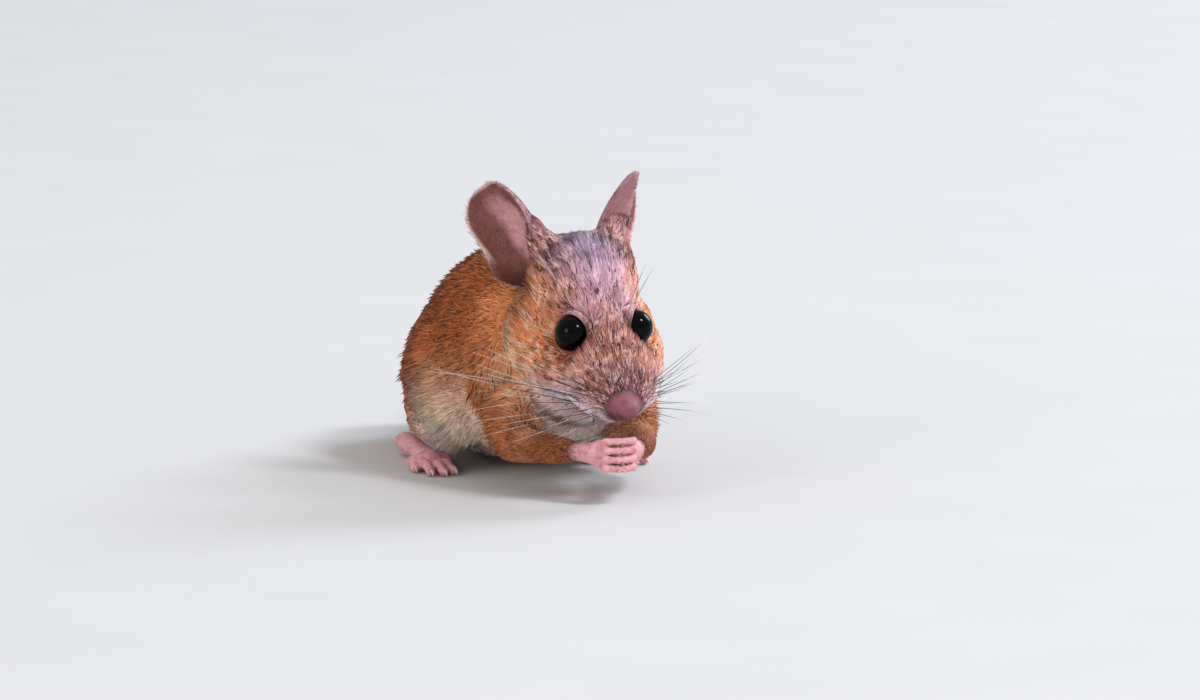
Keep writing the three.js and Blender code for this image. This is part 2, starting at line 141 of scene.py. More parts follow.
class Block:
    """A box of grid points, whose fields are arrays of distances in millimetres."""

    def __init__(self, low, high):
        self.first = np.floor(np.array(low) / VOXEL).astype(int)
        self.count = np.ceil(np.array(high) / VOXEL).astype(int) - self.first + 1
        self.axes = [(f + np.arange(n)) * VOXEL for f, n in zip(self.first, self.count)]
        self.origin = tuple(int(i) for i in self.first)

    def points(self, part):
        return lattice([axis[steps] for axis, steps in zip(self.axes, part)])

    def part(self, low, high):
        """The slices that hold the grid points from low to high."""
        steps = [np.round(np.array(end) / VOXEL - self.first).astype(int) for end in (low, high)]
        return tuple(slice(a, b) for a, b in zip(*np.clip(steps, 0, self.count)))

    def lay(self, field, stations, radii, soft, flat=1):
        """Joins a limb of round cones along stations to a field. flat above 1 presses it down."""
        stations, radii = np.asarray(stations, float), np.asarray(radii, float)
        reach = radii[:, None] + BAND
        part = self.part((stations - reach).min(0), (stations + reach).max(0))
        points = self.points(part).astype(np.float32)
        found = chain(points * (1, 1, flat), stations * (1, 1, flat), radii)
        field[part] = joined(field[part], found, soft)

    def distance(self, points, triangles, inside):
        """The signed distance to a closed mesh, true down to `inside` millimetres below its surface."""
        grid = openvdb.FloatGrid.createLevelSetFromPolygons(
            points.astype(np.float32),
            triangles=triangles.astype(np.uint32),
            transform=openvdb.createLinearTransform(VOXEL),
            exBandWidth=BAND / VOXEL,
            inBandWidth=inside / VOXEL,
        )
        field = np.empty(self.count, np.float32)
        grid.copyToArray(field, ijk=self.origin)
        return field

    def blur(self, field, sigma):
        """Smooths a field by a bell of width sigma along each axis."""
        steps = np.arange(-int(2.5 * sigma / VOXEL), int(2.5 * sigma / VOXEL) + 1)
        bell = np.exp(-((steps * VOXEL / sigma) ** 2) / 2)
        bell /= bell.sum()
        for axis in range(3):
            field = sum(np.float32(w) * np.roll(field, int(step), axis) for step, w in zip(steps, bell))
        return field

    def spread(self, value, step=4):
        """value(points) worked out at every few grid points, and straight in between."""
        coarse = [np.unique(np.append(axis[::step], axis[-1])) for axis in self.axes]
        field = value(lattice(coarse)).astype(np.float32)
        for axis, (fine, knots) in enumerate(zip(self.axes, coarse)):
            base = np.clip(np.searchsorted(knots, fine, "right") - 1, 0, len(knots) - 2)
            part = ((fine - knots[base]) / (knots[base + 1] - knots[base])).astype(np.float32)
            part = part.reshape([-1 if i == axis else 1 for i in range(3)])
            field = np.take(field, base, axis) * (1 - part) + np.take(field, base + 1, axis) * part
        return field

    def at(self, field, points):
        """The field's value at each point, straight between grid points."""
        spot = np.clip(points / VOXEL - self.first, 0, self.count - 1.001)
        base = spot.astype(int)
        return among_corners(base, spot - base, lambda corner: field[tuple(corner.T)])


def among_corners(base, part, value):
    """value(corner) in between the eight corners of cells of a grid, part of the way from base."""
    total = 0
    for step in np.ndindex(2, 2, 2):
        total = total + value(base + step) * np.prod(np.where(step, part, 1 - part), -1)
    return total


def polygons(blocks, level=0):
    """Corners and quads of the surface where the blocks' fields pass a level."""
    grid = openvdb.FloatGrid(BAND)
    grid.transform = openvdb.createLinearTransform(VOXEL)
    for block, field in blocks:
        grid.copyFromArray(np.ascontiguousarray(field, np.float32), ijk=block.origin)
    return grid.convertToQuads(isovalue=level)


def joined(a, b, soft):
    """The smooth union of two fields: it fills their corner by soft."""
    near = np.maximum(soft - np.abs(a - b), 0) / soft
    return np.minimum(a, b) - near * near * soft / 4


def cut(a, b, soft):
    """Field a without the inside of field b, with a rounded edge."""
    return -joined(-a, b, soft)


def chain(points, stations, radii):
    """Distance to a limb of round cones along stations."""
    found = np.inf
    points, stations, radii = (np.asarray(a, np.float32) for a in (points, stations, radii))
    for a, b, ra, rb in zip(stations[:-1], stations[1:], radii[:-1], radii[1:]):
        along = b - a
        off = points - a
        t = np.clip(off @ (along / (along @ along)), 0, 1)
        off -= t[..., None] * along
        found = np.minimum(found, np.sqrt(np.einsum("...i,...i", off, off)) - (ra + (rb - ra) * t))
    return found


def blend(points, anchors):
    """A value that passes smoothly between anchors, each (x, y, z, reach, value)."""
    total, weights = 0, 1e-12
    for *centre, reach, value in anchors:
        w = np.exp(-((points - centre) ** 2).sum(-1) / (2 * reach * reach))
        total, weights = total + w * value, weights + w
    return total / weights


# ---- shapes


def between(rings):
    """Quads between rows of rings with as many corners each."""
    rows, count = rings.shape[:2]
    index = np.arange(rows * count).reshape(rows, count)
    right = np.roll(index, -1, 1)
    return np.stack([index[:-1], right[:-1], right[1:], index[1:]], -1).reshape(-1, 4)


def halved(quads):
    return np.concatenate([quads[:, [0, 1, 2]], quads[:, [0, 2, 3]]])


def gathered(meshes):
    """Several meshes as one."""
    corners, faces, count = [], [], 0
    for points, sides in meshes:
        corners.append(points)
        faces.append(sides + count)
        count += len(points)
    return np.concatenate(corners), np.concatenate(faces)


def ear_section(v, least=0):
    """The ear's half-width along its sheet at height v, half the angle it curls by, and its lean."""
    top = np.clip((v - EAR_WIDEST) / (1 - EAR_WIDEST), 0, 1)
    root = 0.42 + 0.58 * np.sin(np.minimum(v, EAR_WIDEST) / EAR_WIDEST * pi / 2)
    half = EAR_HALF_WIDTH * root * np.sqrt(np.maximum(least, 1 - top**2.4))
    high = np.clip(v, 0, 1)
    return half, np.radians(130 - 90 * high), -1.7 * np.sin(pi * high) - 0.3 * v * v


def ear_surface(sign, u, v):
    """The middle of the ear's sheet in the head's frame, u from -1 to 1 across it and v from 0 to 1 up it."""
    axis, facing, across = ear_frame(sign)
    half, curl, lean = ear_section(v)
    half = half * (1 + EAR_LOBE * np.clip(sign * u, 0, 1) ** 2 * np.exp(-(((v - 0.32) / 0.17) ** 2)))
    radius = half / curl
    up, side = EAR_LENGTH * (v - EAR_SUNK), radius * np.sin(curl * u)
    out = radius * (1 - np.cos(curl * u)) + lean
    return EAR_AT * (sign, 1, 1) + up[..., None] * axis + side[..., None] * across + out[..., None] * facing


def ear_frame(sign):
    axis = unit(on_side(EAR_AXIS[sign], sign))
    facing = on_side(EAR_FACING[sign], sign)
    facing = unit(facing - facing @ axis * axis)
    return axis, facing, np.cross(axis, facing)


def ear_mesh(sign, steps=60):
    """The ear as a closed sheet with a rounded rim, thicker low down."""
    v = 0.5 - 0.5 * np.cos(pi * np.arange(steps + 1) / steps)
    turn = np.arange(2 * steps)
    front = turn < steps
    u = np.where(front, 2 * turn / steps - 1, 3 - 2 * turn / steps)
    u, v = np.meshgrid(u, v)
    surface, tiny = lambda u, v: ear_surface(sign, u, v), 1e-3
    down = surface(u, v + tiny) - surface(u, v - tiny)
    sideways = surface(u + tiny, v) - surface(u - tiny, v)
    normal = unit(np.cross(sideways, down))
    rim = np.sqrt(np.maximum(0, 1 - u**8)) * np.sqrt(np.maximum(0, 1 - (2 * v - 1) ** 10))
    thick = EAR_THICKNESS * (1 + 0.5 * smooth(v, 0.35, 0))
    grid = surface(u, v) + (np.where(front, 1, -1) * rim * thick / 2)[..., None] * normal
    return from_head(grid.reshape(-1, 3)), halved(between(grid))


def digit(root, bend, tip, sign):
    return on_side([root, (root + bend) / 2, bend, (bend + tip) / 2, tip], sign)


def finger_chains(sign):
    """Four fingers of a hand, each as its knuckles and their radii."""
    for i in range(4):
        spread = i / 3 - 0.5
        root = np.array([PALM[0] - 0.2, PALM[1] - 0.4, PALM[2] + 2.6 * spread])
        bend = root + (-0.4, -1.7, 0.9 * spread)
        tip = bend + (-1.5, -0.6, 0.2 * spread)
        yield digit(root, bend, tip, sign), [0.58, 0.46, 0.54, 0.42, 0.46]


def toe_chains(sign):
    for across, back, length in TOES:
        root = np.array([FOOT_BALL[0] + across, FOOT_BALL[1] + back + 0.4, 1.0])
        bend = np.array([root[0] + across * 0.25, root[1] - 0.55 * length, 1.25])
        tip = np.array([root[0] + across * 0.4, root[1] - length, 0.66])
        yield digit(root, bend, tip, sign), [0.8, 0.66, 0.72, 0.58, 0.64]


def tail_course(count):
    """Points along the tail with its radius at each, at even steps of the curve's own parameter."""
    knots = np.array(TAIL, float)
    ends = np.vstack([2 * knots[0] - knots[1], knots, 2 * knots[-1] - knots[-2]])
    share = np.linspace(0, 1, count)
    spot = share * (len(knots) - 1)
    i = np.minimum(spot.astype(int), len(knots) - 2)
    t = (spot - i)[:, None]
    a, b, c, d = (ends[i + k] for k in range(4))
    ab, bc, cd = (np.linalg.norm(q - p, axis=1, keepdims=True) ** 0.5 for p, q in ((a, b), (b, c), (c, d)))
    leave = bc * ((b - a) / ab - (c - a) / (ab + bc) + (c - b) / bc)
    reach = bc * ((c - b) / bc - (d - b) / (bc + cd) + (d - c) / cd)
    bend2, bend3 = 3 * (c - b) - 2 * leave - reach, 2 * (b - c) + leave + reach
    radii = TAIL_RADII[0] + (TAIL_RADII[1] - TAIL_RADII[0]) * share**0.8
    return b + leave * t + bend2 * t**2 + bend3 * t**3, radii


def node_mesh(name):
    """The corners and triangles of a CAD node, in millimetres in the mouse's frame."""
    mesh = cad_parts[name].data
    co = np.empty(len(mesh.vertices) * 3, np.float32)
    mesh.vertices.foreach_get("co", co)
    mesh.calc_loop_triangles()
    corners = np.empty(len(mesh.loop_triangles) * 3, np.int32)
    mesh.loop_triangles.foreach_get("vertices", corners)
    return co.reshape(-1, 3) / MM + SHIFT, corners.reshape(-1, 3)


# How thick the coat lies on the skin: (x, y, z, reach, depth), in the head's frame and then in the mouse's
HEAD_DEPTHS = [
    (0, 0.5, -0.7, 1.6, 0.02), (0, 4, 1, 2, 0.3), (3, 3.4, -1, 1.2, 0.3), (5.6, 5.4, -1, 1.6, 0.5),
    (0, 10, 6, 3, 0.55), (5, 12, 3, 3, 0.45), (0, 18, 9, 4, 0.8), (8, 20, 0, 4, 0.9), (0, 9, -6, 3, 0.6),
    (0, 18, -8, 4, 0.9), (5, 25, 8, 3, 0.5),
]  # fmt: skip
BODY_DEPTHS = [
    (0, -12, 24, 5, 1.5), (0, 0, 28, 7, 2.0), (0, 18, 22, 9, 2.1), (13, 8, 12, 7, 1.9), (0, 30, 10, 5, 1.7),
    (10, -10, 12, 5, 1.6), (0, 0, 1, 5, 0.9), (7, -20, 7, 3, 0.9), (5, -27, 6.5, 2.5, 0.5),
    (12, 10, 2, 4, 0.6), (0, -20, 12, 5, 1.1), (0, 34, 4.4, 2.5, 0.4), (0, 32, 9, 3, 0.9), (5, 31, 5, 3, 0.8),
]  # fmt: skip


def of_head(body):
    """How far points of the mouse's left side belong to the head and not to the trunk or the arm."""
    arm = smooth(chain(body, ARM, ARM_RADII), 0.9, -0.3)
    head = to_head(body)
    run = head[..., 1] - 0.6 * np.clip(head[..., 2] - 2, 0, 8)
    return smooth(run, 28, 19) * (1 - arm)


def coat_depth(points):
    """Depth of the coat at points of the mouse's frame, from the nearest of both lists."""
    head, body = to_left(to_head(points)), to_left(points)
    in_head = of_head(body)
    depth = in_head * blend(head, HEAD_DEPTHS) + (1 - in_head) * blend(body, BODY_DEPTHS)
    mound = smooth(chain(head, *EAR_MOUND), 2.5, 0.6)
    return depth + (np.minimum(depth, 0.5) - depth) * mound


def skin_field(block):
    """The skin's distance field, with the fields of its parts, which tell later what a point belongs to."""
    rough = block.distance(*gathered(map(node_mesh, BULK)), inside=1)
    closed = 0.3  # wide enough to close the gaps between the solids
    corners, quads = polygons([(block, rough)], closed)
    flesh = block.distance(corners, halved(quads), inside=3.6) + closed
    flesh = block.blur(flesh, 0.45)
    behind = block.spread(lambda points: smooth(to_head(points)[..., 1], 12, 24))
    flesh += (block.blur(flesh, 1.1) - flesh) * behind
    flesh += block.spread(coat_depth)
    for sign in BOTH:
        block.lay(flesh, from_head(on_side(EAR_MOUND[0], sign)), EAR_MOUND[1], 1.6)
    ears = np.minimum(*(block.distance(*ear_mesh(sign), inside=0.5) for sign in BOTH))
    field = joined(flesh, ears, 1.5)

    hands, feet, tail = (np.full(block.count, BAND, np.float32) for _ in range(3))
    for sign in BOTH:
        block.lay(hands, on_side(((4.6, -29.6, 6.7), WRIST, PALM), sign), [1.15, 1.15, 1.55], 0.1)
        for finger in finger_chains(sign):
            block.lay(hands, *finger, 0.35)
        sole = [(*FOOT_HEEL, 1.75), (12.8, 8, 1.6), (FOOT_BALL[0], FOOT_BALL[1] + 0.6, 1.5)]
        block.lay(feet, on_side(sole, sign), [1.6, 1.35, 1.5], 0.1, flat=1.15)
        block.lay(feet, on_side([(11.9, 1, 1.3), (15.2, 1.2, 1.3)], sign), [1.25, 1.2], 0.8, flat=1.15)
        for toe in toe_chains(sign):
            block.lay(feet, *toe, 0.4)
    field = joined(field, hands, 0.5)
    field = joined(field, feet, 0.8)

    course, radii = tail_course(60)
    lay_tail(block, tail, course, radii, course[:, 1] < block.axes[1][-1] + 4)
    field = joined(field, tail, 1.2)
    return field, {"flesh": flesh, "ears": ears, "hands": hands, "feet": feet, "tail": tail}


def lay_tail(block, field, course, radii, held):
    for i in np.flatnonzero(held)[:-1]:
        block.lay(field, course[i : i + 2], radii[i : i + 2], 0.02)


def sculpted_head(block, field):
    """Opens the eyes and shapes the lids, the nostrils and the mouth, within the head's part of the field."""
    middle, reach = from_head(np.array([0, 9, 0])), 16
    part = block.part(middle - reach, middle + reach)
    head = to_head(block.points(part).reshape(-1, 3)).reshape(*field[part].shape, 3).astype(np.float32)
    near = field[part]
    for sign in BOTH:
        eye, axis = eye_frame(sign)
        off = head - eye.astype(np.float32)
        run = lambda way: off @ way.astype(np.float32)
        far = np.sqrt(np.einsum("...i,...i", off, off))
        ahead = run(axis)
        aside = np.sqrt(np.maximum(far * far - ahead * ahead, 0))
        corner = unit(np.cross(axis, np.cross(np.array([sign * -0.3, -1, -0.6]), axis)))
        pull = np.clip(run(corner) / EYE_RADIUS, 0, 1.3) ** 5
        upper = unit(np.cross(np.cross(axis, (0, 0, 1)), axis))
        rise = np.clip(run(upper) / EYE_RADIUS, -1.1, 1.1)
        above, below = np.maximum(rise, 0) ** 2, np.minimum(rise, 0) ** 2
        over = 0.55 * above + 0.8 * below
        lid = np.maximum(far - EYE_RADIUS - 0.38 - 0.12 * pull, ahead - LID_EDGE - over)
        near = joined(near, lid, 0.5)
        edge = aside + 0.2 * above + 0.26 * below
        opening = np.maximum(edge - EYE_RADIUS - 0.12 - 1.3 * np.maximum(ahead, 0), LID_EDGE + over - ahead)
        near = cut(near, opening, 0.3)
        slit = np.maximum(edge - EYE_RADIUS - 0.14 * pull, -0.4 - ahead)
        near = cut(near, slit, 0.2)
        near = cut(near, far - EYE_RADIUS, 0.05)
    left = to_left(head)
    for limb, soft in ((NOSTRIL, 0.2), (GROOVE, 0.2), (MOUTH, 0.3)):
        near = cut(near, chain(left, *limb), soft)
    field[part] = near
    return field


def tail_blocks():
    """Boxes along the rest of the tail, with its field in each."""
    course, radii = tail_course(120)
    y = course[:, 1]
    edges = np.linspace(BODY_BLOCK[1][1], y.max() + 3, 9)
    for low, high in zip(edges[:-1], edges[1:]):
        held = (y > low - 4) & (y < high + 4)
        across = course[held, 0]
        box = Block((across.min() - 4, low, -1), (across.max() + 4, high, 4.2 if low > 45 else 5.5))
        field = np.full(box.count, BAND, np.float32)
        lay_tail(box, field, course, radii, held)
        yield box, field


def summed(at, values, count):
    """Totals of points or ways by the corner that each belongs to."""
    return np.stack([np.bincount(at, values[:, i], count) for i in range(3)], 1)


def relaxed(corners, quads):
    """Evens out the grid's steps without shrinking thin parts."""
    edges = np.concatenate([quads[:, [i, (i + 1) % 4]] for i in range(4)])
    count = np.bincount(edges[:, 0], minlength=len(corners))[:, None]
    for step in (0.5, -0.52) * 3:
        mean = summed(edges[:, 0], corners[edges[:, 1]], len(corners)) / count
        corners = corners + step * (mean - corners)
    return corners


def normals_of(corners, quads):
    a, b, c, d = (corners[quads[:, i]] for i in range(4))
    face = np.cross(c - a, d - b)
    normal = sum(summed(quads[:, k], face, len(corners)) for k in range(4))
    return unit(normal), np.linalg.norm(face, axis=1) / 2


# ---- colours and materials


def paint(red, green, blue):
    """A colour given as sRGB from 0 to 255, as the linear one that shaders take."""
    c = np.array([red, green, blue]) / 255
    return np.where(c <= 0.04045, c / 12.92, ((c + 0.055) / 1.055) ** 2.4)


def coloured(anchors):
    return [(*anchor[:4], paint(*anchor[4:])) for anchor in anchors]


# The coat's markings, partly with painted sheen, on the left: (x, y, z, reach, red, green, blue), in the
# head's frame, then the mouse's
HEAD_COLOURS = coloured([
    # Partly painted sheen of cool light: the crown's lilac-grey and the lilac-white on the muzzle's sides.
    (0, 0.5, -0.6, 1.2, 138, 82, 88), (0, 4, 2.4, 1.6, 126, 84, 92), (0, 6.8, 3.8, 1.8, 158, 104, 92),
    (0, 10, 6.3, 2.2, 182, 120, 104), (0, 14, 8.3, 2.4, 196, 148, 160), (0, 18, 10.2, 2.6, 190, 162, 188),
    (0, 22.5, 11.2, 2.6, 192, 174, 206), (2.8, 22.8, 11, 1.2, 84, 44, 32), (0, 28, 11, 3, 150, 116, 112),
    (3.4, 18.8, 10, 1.8, 194, 150, 164), (5.9, 18.7, 7.8, 1.8, 212, 144, 126),
    (5.9, 21.5, 9.1, 1, 88, 48, 38), (7.2, 24.1, 9.9, 1.3, 214, 142, 124), (4, 24.2, 10.8, 1.1, 160, 100, 80),
    (4.6, 20.9, 9.5, 1.6, 70, 36, 28), (4.8, 25.6, 11.6, 1.1, 186, 132, 140),
    (6.8, 26, 10.9, 1.2, 180, 128, 146), (5.6, 29, 10.8, 2, 160, 108, 116),
    (5.3, 16.2, 7.1, 1.5, 230, 154, 130), (8.2, 19.5, 5.1, 2.2, 226, 144, 106),
    (9, 20, 1.6, 2.6, 228, 134, 82), (7, 17.3, 4.9, 1.3, 244, 168, 138), (7.4, 12.5, 1.1, 1.6, 222, 148, 112),
    (9.2, 15.8, 0.6, 2, 238, 142, 88), (6.5, 10.2, 1.1, 1.9, 172, 74, 34), (10.5, 20, -3, 2.8, 255, 180, 140),
    (8.9, 17.5, -6.3, 2.4, 255, 184, 146), (12.6, 19, -8.6, 2.4, 206, 118, 68),
    (13, 17.6, -11.5, 2.4, 190, 104, 58), (7.9, 10.6, -1.2, 1.4, 226, 154, 114),
    (5.4, 7, 0, 0.8, 216, 160, 148), (4.2, 12.3, -7.2, 2.8, 255, 206, 202),
    (6.6, 7.4, -3.2, 1.5, 255, 240, 255), (3.8, 4.1, 0.4, 1.1, 140, 82, 62),
    (5, 4.2, -1.7, 1.1, 244, 214, 224), (4.6, 7.2, 2, 1.2, 200, 142, 130), (3.6, 5, -2.6, 1.2, 255, 226, 236),
    (0, 9, -8, 3, 255, 222, 232), (0, 18, -9, 4, 248, 216, 196), (3.7, 13.3, 6.7, 0.9, 236, 196, 204),
    (2.7, 11, 6, 0.6, 104, 66, 58), (6, 15.9, 4.9, 0.7, 150, 94, 74), (6.6, 11.6, 2, 0.6, 226, 160, 128),
])  # fmt: skip
BODY_COLOURS = coloured([
    (0, -12, 31, 5, 160, 96, 56), (0, 2, 31, 7, 146, 84, 46), (0, 18, 25, 7, 148, 86, 46),
    (7, 1, 27, 4, 158, 82, 38), (7.5, -8, 24, 3, 250, 160, 98), (9, 1.5, 24, 4, 154, 74, 30),
    (11.5, -1, 19, 5, 160, 84, 34), (14, 10, 15, 6, 176, 92, 40), (11, 22, 12, 6, 180, 98, 48),
    (13.5, -2.6, 13.5, 4, 178, 104, 50), (15.7, -3, 8, 4.2, 255, 238, 218), (14.4, -6, 7, 3.2, 255, 224, 202),
    (13, 12, 6, 4, 232, 176, 132), (9, -19, 14, 3, 222, 136, 88), (11.6, -17, 13, 3, 196, 112, 60),
    (12.3, -15.5, 10, 3, 190, 108, 60), (0, 32, 8, 4, 150, 92, 56), (0, 0, 0, 6, 236, 216, 202),
    (0, -20, 9, 4, 240, 204, 176), (7, -22, 11.5, 1.8, 226, 166, 122), (8, -20, 6, 2.4, 176, 104, 60),
    (7.5, -27.5, 7, 2.4, 156, 86, 44), (12, 8, 4, 3, 214, 146, 100),
])  # fmt: skip
SKIN_PINK, SKIN_FOLD = paint(226, 164, 168), paint(182, 84, 84)
# The last of these is painted shade deep in the ear's hollow.
EAR_BACK, EAR_INSIDE, EAR_DEEP_SHADE = paint(176, 130, 142), paint(130, 77, 62), paint(84, 46, 40)
# The first of these pinks is a painted highlight in the ear's hollow.
EAR_HIGHLIGHT_PINK, EAR_FOLD, EAR_RIM = paint(226, 168, 170), paint(136, 92, 104), paint(236, 206, 202)
# The second of these is painted shade on the nose's underside.
NOSE_TOP, NOSE_UNDER_SHADE = paint(136, 76, 86), paint(74, 28, 26)
TAIL_TOP, TAIL_UNDER = paint(112, 82, 68), paint(196, 166, 150)
# Dark lid skin round the eyes, also used as painted shade inside the nostrils.
LID_SKIN_AND_NOSTRIL_SHADE = paint(40, 26, 26)
PALE_HAIR, SANDY_HAIR = paint(240, 226, 234), paint(250, 206, 168)


def markings_and_sheen(points):
    """The coat's markings, with the head's partly painted sheen, at points of the mouse's frame."""
    body = to_left(points)
    in_head = of_head(body)[:, None]
    head_tone = blend(to_left(to_head(points))[:, None], HEAD_COLOURS)
    return in_head * head_tone + (1 - in_head) * blend(body[:, None], BODY_COLOURS)


CHANCES = 4096


def chance_of(cells):
    """Which of a table of random values each cell of a grid takes."""
    return (cells[:, 0] * 73856093 ^ cells[:, 1] * 19349663 ^ cells[:, 2] * 83492791) % CHANCES


def wander(points, size, seed):
    """Smooth noise from -1 to 1 with patches of about size millimetres."""
    table = np.random.default_rng(seed).uniform(-1, 1, CHANCES)
    spot = points / size + 1000
    base = np.floor(spot).astype(np.int64)
    return among_corners(base, smooth(spot - base, 0, 1), lambda corner: table[chance_of(corner)])


def mixed(a, b, share):
    return a + (b - a) * np.asarray(share)[..., None]


def new_material(name, roughness, specular):
    """A material of a given finish, its shader's inputs, and ways to add a node, add a noise and link."""
    material = bpy.data.materials.new(name)
    material.use_nodes = True
    tree = material.node_tree
    shader = tree.nodes["Principled BSDF"].inputs
    shader["Roughness"].default_value = roughness
    shader["Specular IOR Level"].default_value = specular

    def node(kind, values=None, **settings):
        made = tree.nodes.new(f"ShaderNode{kind}")
        for key, value in settings.items():
            setattr(made, key, value)
        for key, value in (values or {}).items():
            made.inputs[key].default_value = value
        return made

    place = node("TexCoord").outputs["Object"]

    def noise(scale, detail):
        made = node("TexNoise", {"Scale": scale, "Detail": detail})
        tree.links.new(place, made.inputs["Vector"])
        return made.outputs["Fac"]

    return material, shader, node, noise, tree.links.new


def speckled(name, roughness, specular, scale, strength, bump=0.0, bump_scale=0.0):
    """A material that takes its colour from the corners, varied by fine noise, with a bump of its own if one
    is given.
    """
    material, shader, node, noise, link = new_material(name, roughness, specular)
    tint = node("Attribute", attribute_name="tint")
    limits = {"From Min": 0.3, "From Max": 0.7, "To Min": 1 - strength, "To Max": 1 + strength}
    vary = node("MapRange", limits)
    colour = node("VectorMath", operation="SCALE")
    link(noise(scale, 3), vary.inputs["Value"])
    link(tint.outputs["Color"], colour.inputs[0])
    link(vary.outputs["Result"], colour.inputs["Scale"])
    link(colour.outputs["Vector"], shader["Base Color"])
    if bump:
        raised = node("Bump", {"Strength": bump, "Distance": 0.0002})
        link(noise(bump_scale, 4), raised.inputs["Height"])
        link(raised.outputs["Normal"], shader["Normal"])
    return material


def two_toned(name, dark, light, scale, roughness, specular=0.5):
    """A material that wanders between two colours."""
    material, shader, node, noise, link = new_material(name, roughness, specular)
    mix = node("Mix", {"A": (*dark, 1), "B": (*light, 1)}, data_type="RGBA")
    link(noise(scale, 2), mix.inputs["Factor"])
    link(mix.outputs["Result"], shader["Base Color"])
    return material


# ---- pieces


def new_piece(name, corners, faces, material, colours=None, unwrap=None):
    """A smooth mesh, with a colour for each corner and a place on the map for each corner of each face."""
    flat = lambda values: values.astype(np.float32).ravel()
    mesh = bpy.data.meshes.new(name)
    faces = np.asarray(faces)
    mesh.vertices.add(len(corners))
    mesh.vertices.foreach_set("co", flat(metres(corners)))
    mesh.loops.add(faces.size)
    mesh.loops.foreach_set("vertex_index", faces.astype(np.int32).ravel())
    mesh.polygons.add(len(faces))
    mesh.polygons.foreach_set("loop_start", np.arange(len(faces), dtype=np.int32) * faces.shape[1])
    mesh.polygons.foreach_set("use_smooth", np.full(len(faces), True))
    if colours is not None:
        tint = mesh.attributes.new("tint", "FLOAT_COLOR", "POINT")
        tint.data.foreach_set("color", flat(np.column_stack([colours, np.ones(len(colours))])))
    if unwrap is not None:
        mesh.uv_layers.new(name="OFBake").data.foreach_set("uv", flat(unwrap))
    mesh.update(calc_edges=True)
    mesh.materials.append(material)
    piece = bpy.data.objects.new(name, mesh)
    bpy.context.scene.collection.objects.link(piece)
    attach(piece, "root")
    return piece


